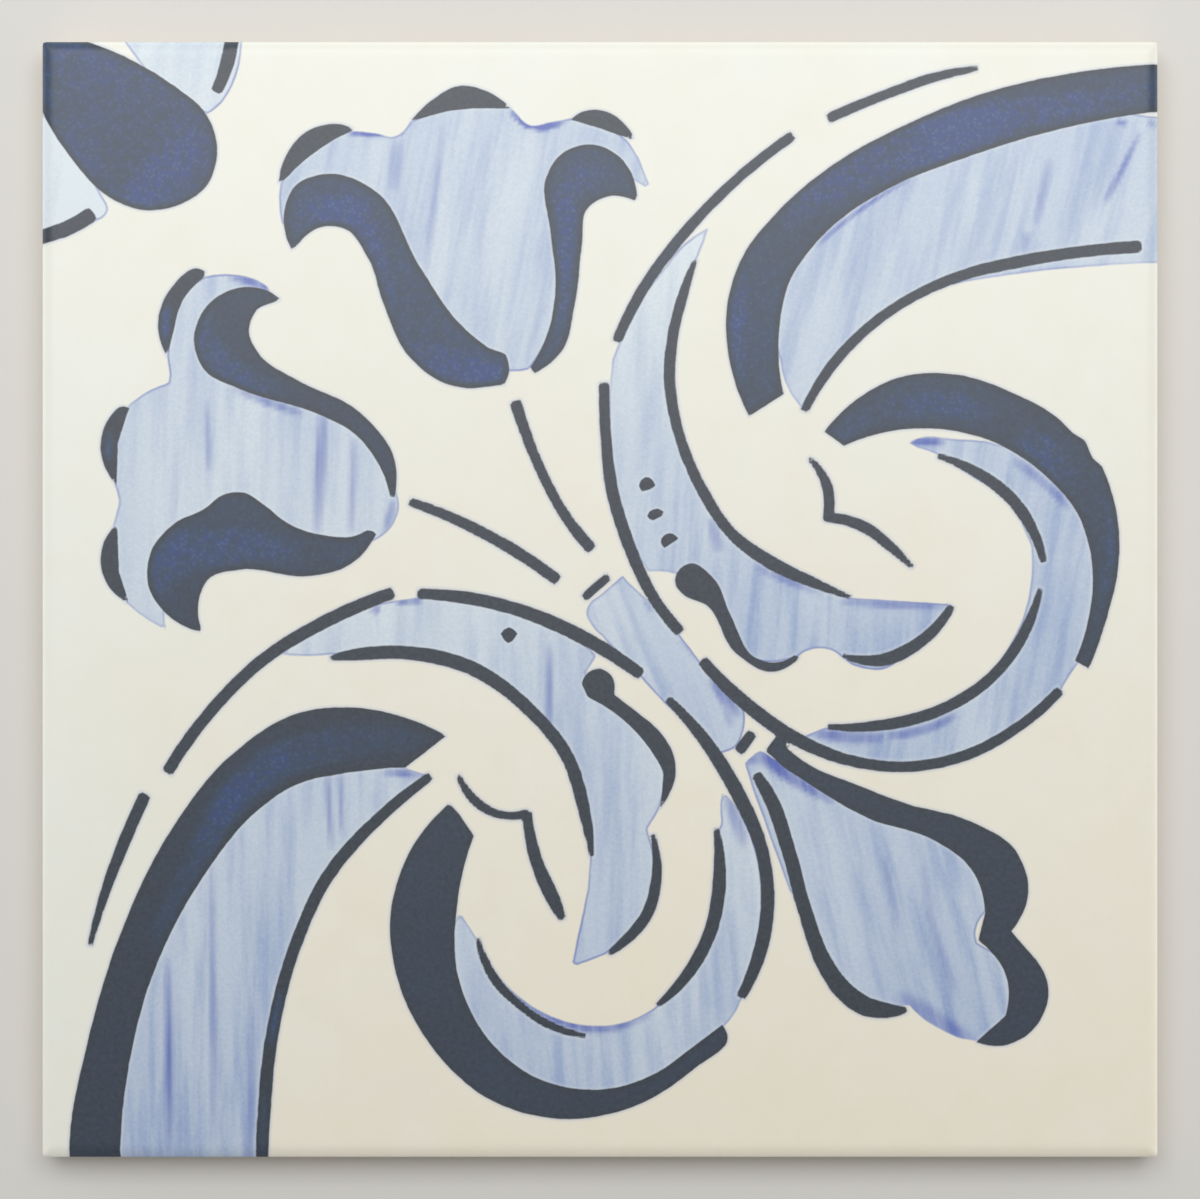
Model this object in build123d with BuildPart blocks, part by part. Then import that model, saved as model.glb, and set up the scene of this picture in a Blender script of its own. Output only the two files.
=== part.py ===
"""Square decorative wall tile: one dry-pressed, glazed and fired ceramic piece.

The tile lies on its back. The origin is the middle of the bedding face, +Z points out of the
glazed face, and +Y points to the edge that is uppermost on the wall.
"""

import math
import os

from build123d import *

# The pressed body, in millimetres
tile_width = 200.0  # across the wall, along X
tile_height = 200.0  # up the wall, along Y
tile_thickness = 8.0  # from the bedding face to the glazed face
corner_radius = 0.6  # upright corners, as the press die leaves them
back_chamfer = 0.5  # relief round the bedding face, where the press flash is fettled off

# The cushion edge: the glazed face falls away in a wide arc and turns into the side over a small nose
cushion_width = 2.3  # from the flat of the face out to the side
cushion_slope = 27.0  # fall of the wide arc where the nose takes over, in degrees
nose_radius = 0.4

# The keys: shallow pockets in the back that the adhesive grips
key_width = 24.0  # square pocket, measured at its mouth
key_corner_radius = 3.0
key_depth = 0.8
key_draft = 30.0  # lean of the pocket walls in degrees, so that the punch lets go
rib_width = 3.0  # standing rib between two pockets
least_rim = 6.0  # plain border that the pockets leave at least

# The wide arc spans what the nose leaves of the cushion edge, and the two drop together
slope = math.radians(cushion_slope)
cushion_radius = nose_radius + (cushion_width - nose_radius) / math.sin(slope)
cushion_drop = cushion_radius - (cushion_radius - nose_radius) * math.cos(slope)

# The largest grid of pockets that leaves the rim on all sides
key_pitch = key_width + rib_width
keys_across = math.floor((tile_width - 2 * least_rim + rib_width) / key_pitch)
keys_up = math.floor((tile_height - 2 * least_rim + rib_width) / key_pitch)


def cushioned_bar(section_plane, across, along):
    """A bar with the tile's cross-section: flat underneath, with a cushion edge along both sides."""
    with BuildPart() as bar:
        with BuildSketch(section_plane):
            with BuildLine():
                foot = Line((0, 0), (across / 2, 0))
                side = Line(foot @ 1, (across / 2, tile_thickness - cushion_drop))
                nose = JernArc(side @ 1, side % 1, nose_radius, 90 - cushion_slope)
                cushion = JernArc(nose @ 1, nose % 1, cushion_radius, cushion_slope)
                Line(cushion @ 1, (0, tile_thickness))
                mirror(about=Plane.YZ)
            make_face()
        extrude(amount=along / 2, both=True)
    return bar.part


bar_across = cushioned_bar(Plane.XZ, tile_width, tile_height)
bar_up = cushioned_bar(Plane.YZ, tile_height, tile_width)

# One key, as the stud of the lower punch that presses it
with BuildPart() as key_stud:
    with BuildSketch(Plane.XY):
        RectangleRounded(key_width, key_width, key_corner_radius)
    extrude(amount=key_depth, taper=key_draft)

with BuildPart() as tile:
    # Pressed slab with upright sides, and the flash taken off round its bedding face
    with BuildSketch(Plane.XY):
        RectangleRounded(tile_width, tile_height, corner_radius)
    extrude(amount=tile_thickness)
    bedding_face = tile.faces().sort_by(Axis.Z)[0]
    chamfer(bedding_face.edges(), length=back_chamfer)

    # The glazed face keeps what the two cushioned bars share, so its edges are mitred at the corners
    add(bar_across, mode=Mode.INTERSECT)
    add(bar_up, mode=Mode.INTERSECT)

    # Waffle of drafted keys in the back
    with GridLocations(key_pitch, key_pitch, keys_across, keys_up):
        add(key_stud.part, mode=Mode.SUBTRACT)

tile.part.label = "tile"

os.makedirs("parts", exist_ok=True)
export_step(tile.part, "parts/tile.step")

rim_across = (tile_width - keys_across * key_pitch + rib_width) / 2
rim_up = (tile_height - keys_up * key_pitch + rib_width) / 2
print(f"cushion edge {cushion_width:.2f} mm wide and {cushion_drop:.2f} mm deep, arc radius {cushion_radius:.2f} mm")
print(f"keys {keys_across} x {keys_up}, rim {rim_across:.2f} mm across and {rim_up:.2f} mm up")
print(f"tile volume {tile.part.volume:.0f} mm3, {len(tile.part.faces())} faces")
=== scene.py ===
# %% [markdown]
# # A brush-painted wall tile
# The tile is one slab of pressed clay, 200 mm square and 8 mm thick, with a glazed face that carries a
# blue scroll and two tulips. The slab comes ready from CAD, with its cushion edges and the key pockets
# in its back. This lesson adds what the glazing line, the painter and the kiln added: the coat of
# glaze, the ornament in it and the bare clay that the glaze leaves free. All sizes are in millimetres
# until a mesh is made, because that is how a tile is measured.

# %% Load the pressed slab
import math

import bpy
import numpy as np
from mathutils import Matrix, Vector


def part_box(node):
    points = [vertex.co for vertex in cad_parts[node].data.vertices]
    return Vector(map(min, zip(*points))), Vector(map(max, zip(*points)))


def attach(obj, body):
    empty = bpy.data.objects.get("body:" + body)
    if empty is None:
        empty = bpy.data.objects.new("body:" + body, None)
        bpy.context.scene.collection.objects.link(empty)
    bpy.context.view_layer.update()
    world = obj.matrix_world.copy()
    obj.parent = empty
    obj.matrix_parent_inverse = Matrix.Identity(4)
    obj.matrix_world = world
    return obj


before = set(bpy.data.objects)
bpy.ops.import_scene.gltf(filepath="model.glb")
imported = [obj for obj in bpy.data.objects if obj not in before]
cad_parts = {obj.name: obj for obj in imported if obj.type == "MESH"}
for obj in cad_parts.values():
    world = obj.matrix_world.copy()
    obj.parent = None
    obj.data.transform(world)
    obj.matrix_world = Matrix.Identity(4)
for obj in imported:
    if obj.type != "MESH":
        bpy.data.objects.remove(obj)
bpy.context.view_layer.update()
MM = 0.001
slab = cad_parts["tile"]
slab_low, slab_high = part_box("tile")
half_side = (slab_high.x - slab_low.x) / 2 / MM
face_height = slab_high.z / MM
print(f"slab: {2 * half_side:.1f} mm square, face {face_height:.1f} mm above its bed")

# %% [markdown]
# ## Three helpers for every material
# Colours are easiest to pick as sRGB hex values, as a paint chart or an image editor gives them, but
# shaders count in linear light, so one function converts them. The second adds a shader node, sets its
# properties and sockets, links it up and returns one of its outputs. With it a material reads as a list
# of steps, each built on the ones before. The third only starts an empty material.

# %% Colour and node helpers
def linear(hex_colour):
    """Linear RGBA of an sRGB hex colour: each channel goes through the inverse of the sRGB curve."""
    channel = np.array([int(hex_colour[i:i + 2], 16) for i in (1, 3, 5)]) / 255
    light = np.where(channel <= 0.04045, channel / 12.92, ((channel + 0.055) / 1.055) ** 2.4)
    return (*light.tolist(), 1.0)


def add_node(tree, kind, settings, links, out=0):
    """Add a node of a kind, named without its ShaderNode prefix, and return its output `out`. Settings
    and links name a property, a socket or its number. The last node of a tree has no output, so there
    the node itself comes back."""
    node = tree.nodes.new("ShaderNode" + kind)
    for name, value in settings.items():
        if isinstance(name, str) and hasattr(node, name):
            setattr(node, name, value)
        else:
            node.inputs[name].default_value = value
    for name, source in links.items():
        tree.links.new(source, node.inputs[name])
    return node.outputs[out] if node.outputs else node


def new_material(name):
    """An empty node material and its tree."""
    material = bpy.data.materials.new(name)
    material.use_nodes = True
    material.node_tree.nodes.clear()
    return material, material.node_tree


print("mid grey in linear light:", [round(value, 3) for value in linear("#808080")])

# %% [markdown]
# ## The bare clay
# The sides and the back of a wall tile are unglazed biscuit: clay and sand pressed dry and fired once.
# To the eye it is a dull, warm buff with fine grit, slow clouds from the kiln and a few dark specks of
# iron. It could be a plain colour, but then the back would look like plastic. Noise for the grit, the
# clouds and the specks costs three nodes and works on Object coordinates, so that it needs no
# unwrapping.

# %% Biscuit material
# Real grit is 0.1 to 0.4 mm; it is drawn coarser, or it would not show
GRIT = 0.7 * MM
KILN_CLOUD = 22 * MM
IRON_SPECK = 5 * MM

biscuit, tree = new_material("fired_clay_biscuit")
place = add_node(tree, "TexCoord", {}, {}, "Object")
grit = add_node(tree, "TexNoise", {"Scale": 1 / GRIT, "Detail": 3.0}, {"Vector": place})
cloud = add_node(tree, "TexNoise", {"Scale": 1 / KILN_CLOUD, "Detail": 4.0}, {"Vector": place})
speck = add_node(tree, "TexVoronoi", {"Scale": 1 / IRON_SPECK}, {"Vector": place}, "Distance")
speck_dark = add_node(
    tree, "MapRange", {"From Min": 0.05, "From Max": 0.10, "To Min": 0.55, "To Max": 0.0},
    {"Value": speck})
clay = add_node(
    tree, "Mix", {"data_type": "RGBA", 6: linear("#C9B397"), 7: linear("#DCCBB2")}, {0: cloud}, 2)
gritty = add_node(
    tree, "Mix", {"data_type": "RGBA", "blend_type": "OVERLAY", 0: 0.35}, {6: clay, 7: grit}, 2)
specked = add_node(
    tree, "Mix", {"data_type": "RGBA", 7: linear("#7A5B43")}, {0: speck_dark, 6: gritty}, 2)
press_grain = add_node(tree, "Bump", {"Strength": 0.5, "Distance": 0.06 * MM}, {"Height": grit})
shader = add_node(
    tree, "BsdfPrincipled", {"Roughness": 0.9, "IOR": 1.45},
    {"Base Color": specked, "Normal": press_grain})
add_node(tree, "OutputMaterial", {"target": "ALL"}, {"Surface": shader})
slab.data.materials.clear()
slab.data.materials.append(biscuit)
print("biscuit:", len(tree.nodes), "nodes, on the slab")

# %% [markdown]
# ## The coat of glaze
# A glaze is a skin of glass, thrown on as a thin slip and melted in the kiln. It covers the face,
# follows the cushion edge, where the face falls away in a wide arc and turns into the side over a small
# nose, and ends in a wavy line a few millimetres down the sides. One could paint it on the slab by a
# mask, but a coat of its own can lie in slow waves, show its lower lip and carry the painting in its
# vertices. The face is a grid of points. The rim is a profile, made of the two arcs, the side and the
# lip, carried along the grid's border. A flat lid inside the slab closes the coat from below.

# %% Sizes of the coat
CUSHION_WIDTH = 2.3
CUSHION_SLOPE = math.radians(27)
NOSE_RADIUS = 0.4
# The clay's upright corners have 0.6 mm; the coat gathers on them, so the clay never shows through
UPRIGHT_CORNER_RADIUS = 0.42
COAT = 0.06
WAVE_HEIGHT = 0.02
GLAZE_LINE = 4.2
GLAZE_LINE_WAVE = 0.35
LID_DEPTH = 3.0
GRID_LINES = 287

flat_half = half_side - CUSHION_WIDTH
lines = np.linspace(-flat_half, flat_half, GRID_LINES)
print(f"grid: {GRID_LINES} lines each way, {lines[1] - lines[0]:.2f} mm apart")


# %% The face of the coat
def slow_waves(x, y):
    """Height of the molten glaze's waves: the mean of four sines in four directions, 35 to 90 mm long."""
    waves = (np.sin(x / 9.1 + y / 13.7) + np.sin(y / 7.3 - x / 21.0 + 1.0)
             + np.sin(x / 6.2 - y / 11.5 + 2.1) + np.sin((x + y) / 8.8 + 4.0))
    return WAVE_HEIGHT * waves / 4


face_x, face_y = np.meshgrid(lines, lines)
face_z = face_height + COAT + slow_waves(face_x, face_y)
face_points = np.stack([face_x, face_y, face_z], axis=-1).reshape(-1, 3)
number = np.arange(GRID_LINES ** 2).reshape(GRID_LINES, GRID_LINES)
face_corners = [number[:-1, :-1], number[:-1, 1:], number[1:, 1:], number[1:, :-1]]
face_quads = np.stack(face_corners, axis=-1).reshape(-1, 4)
border = np.concatenate([number[0, :-1], number[:-1, -1], number[-1, :0:-1], number[:0:-1, 0]])
print(f"face: {len(face_points)} points, {len(border)} of them on its border")

# %% The rim of the coat
CORNER_ONSET = 14
LIP_WIDTH = 0.3
LIP_HEIGHT = 0.1
LIP_RISE = 0.05
rim_reach = CUSHION_WIDTH + COAT
cushion_radius = NOSE_RADIUS + (CUSHION_WIDTH - NOSE_RADIUS) / math.sin(CUSHION_SLOPE)
cushion_drop = cushion_radius - (cushion_radius - NOSE_RADIUS) * math.cos(CUSHION_SLOPE)
cushion_turn = np.linspace(0, CUSHION_SLOPE, 5)[1:]
nose_turn = np.linspace(CUSHION_SLOPE, math.pi / 2, 4)[1:]
cushion_out = (cushion_radius + COAT) * np.sin(cushion_turn)
cushion_down = (cushion_radius + COAT) * (1 - np.cos(cushion_turn))
nose_out = CUSHION_WIDTH - NOSE_RADIUS + (NOSE_RADIUS + COAT) * np.sin(nose_turn)
nose_down = COAT + cushion_drop - (NOSE_RADIUS + COAT) * np.cos(nose_turn)
border_xy = face_points[border, :2]
around = np.arctan2(border_xy[:, 1], border_xy[:, 0])
line_depth = GLAZE_LINE + GLAZE_LINE_WAVE * (np.sin(13 * around) + np.sin(29 * around + 1.3)) / 2


def rim_row(out, drop):
    """One turn of the rim: the border scaled outwards by `out`, its corners pulled back onto a small
    arc, and lowered by `drop`. A point's pull is towards the square that is smaller by the arc's
    radius. That radius grows by a high power of `out`, so the mitre of the face stays crisp up to the
    nose."""
    corner = (UPRIGHT_CORNER_RADIUS + COAT) * (out / rim_reach) ** CORNER_ONSET
    grown = border_xy * (flat_half + out) / flat_half
    core = np.clip(grown, corner - flat_half - out, flat_half + out - corner)
    arm = grown - core
    reach = np.maximum(np.linalg.norm(arm, axis=1, keepdims=True), 1e-9)
    rounded = core + arm * np.minimum(1, corner / reach)
    return np.column_stack([rounded, face_points[border, 2] - drop])


rim_out = np.concatenate([cushion_out, nose_out, [rim_reach, rim_reach, rim_reach - LIP_WIDTH, 0.0]])
rim_drop = [*cushion_down, *nose_down, line_depth - LIP_HEIGHT, line_depth, line_depth - LIP_RISE, LID_DEPTH]
rim_rows = [rim_row(out, drop) for out, drop in zip(rim_out, rim_drop)]
rim_number = len(face_points) + np.arange(len(rim_rows) * len(border)).reshape(-1, len(border))
rim_number = np.vstack([border, rim_number])
after = np.roll(rim_number, -1, axis=1)
rim_quads = np.stack([rim_number[:-1], rim_number[1:], after[1:], after[:-1]], axis=-1).reshape(-1, 4)
coat_points = np.vstack([face_points, *rim_rows])
print(f"rim: {len(rim_rows)} rows, glaze line {line_depth.min():.1f} to {line_depth.max():.1f} mm down")

# %% The coat as a mesh
coat_mesh = bpy.data.meshes.new("glaze")
lid = rim_number[-1, ::-1].tolist()
coat_mesh.from_pydata((coat_points * MM).tolist(), [], face_quads.tolist() + rim_quads.tolist() + [lid])
coat_mesh.polygons.foreach_set("use_smooth", np.ones(len(coat_mesh.polygons), bool))
coat_mesh.set_sharp_from_angle(angle=math.radians(50))
glaze = bpy.data.objects.new("glaze", coat_mesh)
bpy.context.collection.objects.link(glaze)
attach(glaze, "root")
triangle_count = 2 * (len(face_quads) + len(rim_quads)) + len(lid) - 2
print(f"glaze: {len(coat_points)} points, {triangle_count} triangles")

# %% [markdown]
# ## A flat map of the coat
# The painter works on a flat face and lets the brush run over the edge. The same flat map serves twice
# here: the ornament is measured on it, and it is the coat's UV map. On the face it is simply the plan.
# On the rim it goes on outwards by the distance down the side. The lid, which nobody sees, gets a small
# corner of the UV square to itself.

# %% Paint plan and UV map
LID_UV = 0.004
LID_STRIP = 2.0
UV_SPAN = 2.02
out_all = np.array([*rim_out[:-1], rim_out[-2]])
down_all = np.array([np.mean(drop) for drop in rim_drop])
beyond = out_all + np.maximum(down_all - cushion_drop - COAT, 0)
beyond[-2:] = beyond[-3] + np.array([LIP_WIDTH, LID_STRIP])
plan_rows = [border_xy * (flat_half + far) / flat_half for far in beyond]
plan = np.vstack([face_points[:, :2], *plan_rows])
uv = 0.5 + plan / (UV_SPAN * np.abs(plan).max())
corner_of = np.empty(len(coat_mesh.loops), np.int32)
coat_mesh.loops.foreach_get("vertex_index", corner_of)
loop_uv = uv[corner_of]
loop_uv[-len(lid):] = LID_UV * (1 + uv[lid]) / 2
coat_mesh.uv_layers.new(name="OFBake").data.foreach_set("uv", loop_uv.ravel())
print(f"plan: {np.abs(plan).max() * 2:.1f} mm across with the sides folded out")

# %% [markdown]
# ## How a brush mark is measured
# The ornament is a common one: blue scrolls, leaves and tulips on white, as tin-glazed tiles have had
# for centuries. A painter makes it from two kinds of mark. A line is one pull of a loaded brush, with a
# centre and a width that swells and thins. A patch is an area that is outlined and filled. Drawing them
# as an image would tie them to a number of pixels, so each mark is kept as a depth instead: how many
# millimetres a point lies inside it, and negative outside. The shader can then draw the edge as crisp
# or as bled as it likes. Points are from the tile's middle, +Y up. Where one patch has several smooth
# edges, they meet in corners.

# %% A smooth curve through a few points
CURVE_STEPS = 8


def smooth_curve(points):
    """Cubic through the points, timed by their spacing. The slope at a point is that of the parabola
    through it and its two neighbours. A third column, the half-width of a line, is carried along the
    same way."""
    knot = np.asarray(points, float)
    if len(knot) < 3:
        return knot
    chord = np.linalg.norm(np.diff(knot[:, :2], axis=0), axis=1)[:, None]
    rise = np.diff(knot, axis=0) / chord
    slope = np.empty_like(knot)
    slope[1:-1] = (rise[:-1] * chord[1:] + rise[1:] * chord[:-1]) / (chord[:-1] + chord[1:])
    slope[0] = 2 * rise[0] - slope[1]
    slope[-1] = 2 * rise[-1] - slope[-2]
    t = np.linspace(0, 1, CURVE_STEPS, endpoint=False)[:, None]
    start, end = knot[:-1, None], knot[1:, None]
    leave, arrive = (slope[:-1] * chord)[:, None], (slope[1:] * chord)[:, None]
    curve = (start * (1 + 2 * t) * (1 - t) ** 2 + leave * t * (1 - t) ** 2
             + end * t ** 2 * (3 - 2 * t) + arrive * t ** 2 * (t - 1))
    return np.vstack([curve.reshape(-1, knot.shape[1]), knot[-1:]])


def from_steps(at, curve):
    """For each point and each straight step of a curve: how far along the step the point lies, from 0
    to 1, its distance sideways from the step's line, and its distance past the step's nearer end."""
    step = np.diff(curve[:, :2], axis=0)
    length = np.maximum(np.linalg.norm(step, axis=1), 1e-9)
    gap = at[:, None] - curve[:-1, :2]
    along = (gap * step).sum(axis=2) / length
    aside = np.abs(gap[..., 0] * step[:, 1] - gap[..., 1] * step[:, 0]) / length
    past = np.maximum(np.maximum(-along, along - length), 0)
    return np.clip(along / length, 0, 1), aside, past


print("a curve through 4 points has", len(smooth_curve([(0, 0), (3, 1), (5, 4), (6, 8)])), "points")


# %% Depth inside a line and inside a patch
def line_depth_at(at, points):
    """Half-width less the distance to the centre line, at the step where that is largest. Sideways and
    endways distances add up by fourth powers, which gives the ends the blunt shape of a flat brush.
    Inside the line the depth bends over as a parabola, because a sharp crest would show the grid in a
    line only three cells wide."""
    curve = smooth_curve(points)
    along, aside, past = from_steps(at, curve)
    half_width = curve[:-1, 2] + along * np.diff(curve[:, 2])
    distance = (aside ** 4 + past ** 4) ** 0.25
    crest = (half_width ** 2 - distance ** 2) / (2 * half_width)
    return np.where(distance < half_width, crest, half_width - distance).max(axis=1)


def patch_depth_at(at, edges):
    """Distance to the nearest step of the outline. A point is inside if a ray from it to the right
    crosses the outline an odd number of times."""
    outline = np.vstack([smooth_curve(edge) for edge in edges])
    outline = np.vstack([outline, outline[:1]])
    aside, past = from_steps(at, outline)[1:]
    distance = np.hypot(aside, past).min(axis=1)
    (low_x, low_y), (high_x, high_y) = outline[:-1].T, outline[1:].T
    x, y = at[:, :1], at[:, 1:]
    spans = (low_y > y) != (high_y > y)
    climb = np.where(high_y == low_y, 1, high_y - low_y)
    crossed = spans & (x < low_x + (y - low_y) * (high_x - low_x) / climb)
    return np.where(crossed.sum(axis=1) % 2 == 1, distance, -distance)


REACH = 3.0


def near(marks, margin=REACH):
    """Numbers of the coat's points that lie in the box of the marks' points, widened by the margin."""
    spots = np.vstack([np.asarray(mark)[:, :2] for mark in marks])
    inside = (plan > spots.min(axis=0) - margin) & (plan < spots.max(axis=0) + margin)
    return np.flatnonzero(inside.all(axis=1))


beside = np.array([[5.0, 2.0]])
print("1 mm beside a 2 mm line:", line_depth_at(beside, [(0, 0, 1), (10, 0, 1)])[0], "mm deep")

# %% [markdown]
# ## Ink, wash and pools
# The painter first fills with a wash, thin cobalt in plenty of water, then draws over it with ink,
# thick cobalt darkened with manganese. The wash keeps the streaks of the brush, so each patch also
# notes its brush's lean, and it settled downwards, so each notes its load at the top and at the bottom.
# Where it was too wet, colour gathered in pools. In the ink, cobalt shows through as blue where it lies
# thick. Each of these becomes one number per point of the coat, and the functions below lay marks into
# them.

# %% The painter's five moves
ink = np.full(len(plan), -REACH)
wash = np.full(len(plan), -REACH)
load = np.zeros(len(plan))
pooled = np.zeros(len(plan))
cobalt = np.zeros(len(plan))
brush = np.zeros((len(plan), 3))
wash_count = 0


def lay_ink(spots, depth, blue):
    """Keep the deeper of the old and new ink, and with it how blue the ink is there."""
    deeper = depth > ink[spots]
    cobalt[spots[deeper]] = blue
    ink[spots] = np.maximum(ink[spots], depth)


def ink_line(*points, blue=0.0):
    """One pull of the brush: points are x, y and half-width."""
    spots = near([points])
    lay_ink(spots, line_depth_at(plan[spots], points), blue)


def ink_patch(*edges, blue=0.0):
    """A filled area of ink inside one or more smooth edges."""
    spots = near(edges)
    lay_ink(spots, patch_depth_at(plan[spots], edges), blue)


def wash_patch(*edges, lean=0.0, top=0.3, bottom=0.3):
    """A filled area of wash, whose load goes evenly from `top` to `bottom`. `lean` is the brush's tilt
    to the right of upright, in degrees; the brush map holds the distance across its pull, the distance
    along it, and a number that tells the patches apart."""
    global wash_count
    wash_count += 1
    spots = near(edges)
    depth = patch_depth_at(plan[spots], edges)
    fresh = spots[depth > wash[spots]]
    heights = np.vstack(edges)[:, 1]
    load[fresh] = np.interp(plan[fresh, 1], [heights.min(), heights.max()], [bottom, top])
    side, up = math.cos(math.radians(lean)), math.sin(math.radians(lean))
    across = plan[fresh] @ np.array([side, -up])
    along = plan[fresh] @ np.array([up, side])
    brush[fresh] = np.column_stack([across, along, np.full(len(fresh), wash_count)])
    wash[spots] = np.maximum(wash[spots], depth)


def gather(field, strength, points):
    """Colour gathers in a field along a curve of x, y and half-width: a flat-topped bell across it that
    dies away towards both ends as half an ellipse does. Past one and a half half-widths nothing is left
    of it."""
    curve = smooth_curve(points)
    spots = near([points], 1.5 * curve[:, 2].max())
    along, aside, past = from_steps(plan[spots], curve)
    half_width = curve[:-1, 2] + along * np.diff(curve[:, 2])
    progress = (np.arange(len(curve) - 1) + along) / (len(curve) - 1)
    bell = np.sqrt(4 * progress * (1 - progress)) * np.exp(-(np.hypot(aside, past) / half_width) ** 4)
    field[spots] = np.maximum(field[spots], strength * bell.max(axis=1))


def pool(*points, strength=0.5):
    """A streak or pool of stronger colour in a wash."""
    gather(pooled, strength, points)


def glow(*points, strength=0.8):
    """A stretch of thick ink where the cobalt shows through as blue."""
    gather(cobalt, strength, points)


def covered():
    """How much of the face is painted so far, as a text."""
    return f"ink on {np.mean(ink[number] > 0):.1%} of the face, wash on {np.mean(wash[number] > 0):.1%}"


print("before painting:", covered())

# %% [markdown]
# ## The corner flower
# Four tiles meet in a flower, and each holds a quarter of it: one broad petal that runs off both edges
# and, on either side, half of a pale one with its outline. The petal could mirror about the diagonal,
# but no painter's hand does, so its points are read one by one.

# %% Corner petals
wash_patch(
    [(-86, 101), (-64, 101)], [(-64.2, 100), (-65.5, 93), (-67.2, 89.8), (-70.3, 87)], [(-78, 90)],
    lean=10, top=0.15, bottom=0.15)
wash_patch(
    [(-101, 88), (-93, 79), (-90, 73.7)], [(-88.6, 71.3), (-88.2, 69.6), (-89.4, 68.2)],
    [(-95, 66.5), (-101, 65)], lean=10, top=0.08, bottom=0.08)
ink_patch(
    [(-102, 92), (-95, 79.4), (-88, 72.1), (-82, 69.8), (-76, 70.5), (-70.6, 74), (-68.6, 81),
     (-70.8, 87.3), (-76, 91.8), (-84, 96.7), (-95, 101)], [(-102, 102)], blue=0.75)
ink_line((-66, 101, 1.3), (-67, 95.5, 1.25), (-68.4, 91.8, 1.05))
ink_line((-101, 64.9, 1.35), (-96, 66.3, 1.35), (-91.9, 68.5, 1.4))
glow((-99.5, 99, 3), (-95, 96.5, 3), strength=1.0)
glow((-98, 88, 2.5), (-93, 79.5, 3), (-87, 74, 3), strength=0.9)
glow((-92, 73, 3), (-82, 73, 5), (-77, 78, 6), (-77, 90, 4), strength=1.2)
print("corner petals:", covered())

# %% [markdown]
# ## The upper tulip
# A tulip in side view: two dark outer petals that curl like an S, three dark caps along the scalloped
# top, and the pale inside. The wash goes on first and runs under the ink, so its hidden edges can be
# rough.

# %% Upper tulip
wash_patch(
    [(-56.9, 67), (-57.4, 70), (-57.2, 75)],
    [(-50, 83), (-44.2, 83.9), (-40, 83.5), (-37, 82.9), (-34, 85.6)], [(-25, 90), (-15.9, 88)],
    [(-14.5, 86.6), (-12.5, 84.9), (-9, 85.5), (-5, 86.2)], [(0, 86), (4.9, 82.3)],
    [(7, 79), (8.1, 76.2), (9, 74)], [(8, 74), (6, 75.2)], [(-6, 76), (-6, 55), (-12.6, 41.3)],
    [(-14.5, 40.9), (-16.5, 41)], [(-30, 46), (-40, 65), (-50, 70)], lean=11, top=0.43, bottom=0.4)
ink_patch(
    [(-57.6, 74.6), (-56.3, 79.5), (-52.5, 83.9), (-47, 85.2), (-44.2, 84.4)],
    [(-44.3, 84), (-50, 80.9), (-56.5, 75.2)])
ink_patch(
    [(-33.9, 85.7), (-30.5, 89.2), (-25, 92.1), (-19.5, 90.7), (-15.9, 88)],
    [(-21, 88), (-27, 87.5), (-31, 86.5)])
ink_patch(
    [(-5.2, 86), (-2.6, 87.6), (1, 87.5), (4.6, 85), (6.1, 82.9)],
    [(5.7, 82.4), (0, 84.4), (-2.5, 85.2)])
ink_patch(
    [(-55.2, 62.7), (-56.7, 68), (-54.5, 74.3), (-48, 76.3), (-40, 73), (-32.5, 60), (-25, 49.3),
     (-20, 45.1)], [(-17, 44), (-16.3, 41), (-17.2, 38.5)],
    [(-23, 37.8), (-28, 38.8), (-34.5, 43.9), (-38.8, 53), (-41.5, 61), (-45.5, 66.3), (-50, 66.7),
     (-53.9, 63.8)], blue=0.6)
ink_patch(
    [(-12.5, 41.6), (-9.3, 48), (-8, 56), (-8.9, 66), (-9.7, 75.5), (-7, 79.8), (-1, 81.5), (3.5, 79.3),
     (6.7, 72)],
    [(6.2, 71.5), (1, 72.1), (-2.3, 70), (-3.2, 64), (-4.5, 53), (-7, 44.3), (-11.8, 40.5)], blue=0.5)
ink_line((-14.9, 34.6, 1.1), (-11.4, 25, 0.95), (-6.2, 15, 1.0), (-2.1, 9.7, 1.1))
pool((-45.5, 84, 0.6), (-40.5, 83.5, 0.7), (-35, 83.8, 0.6), strength=1.4)
pool((-16, 87.8, 0.6), (-12.5, 85.1, 0.8), (-6, 86, 0.6), strength=1.4)
pool((-28.2, 86, 0.6), (-29.3, 74, 0.7), (-31.5, 58, 0.6), strength=0.25)
pool((-36.2, 82.5, 1.4), (-37.2, 73, 1.2), strength=0.4)
glow((-57, 66, 3.5), (-50, 69.5, 4), (-44.5, 69, 4), (-41, 61, 3.5), (-36, 46, 2.5), strength=1.15)
glow((-36, 46, 2.5), (-28, 42.5, 3.5), (-21, 41, 3), (-15, 40, 2), strength=1.1)
glow((-10, 41, 2), (-6.4, 54, 2.4), (-6.2, 66, 2.6), (-5.5, 73.5, 3), (6, 75.5, 2.5), strength=1.1)
print("upper tulip:", covered())

# %% [markdown]
# ## The side tulip
# The second tulip is the first one turned about the diagonal, painted again by hand. Its brush ran
# straight up and down and left a few strong streaks.

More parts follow.
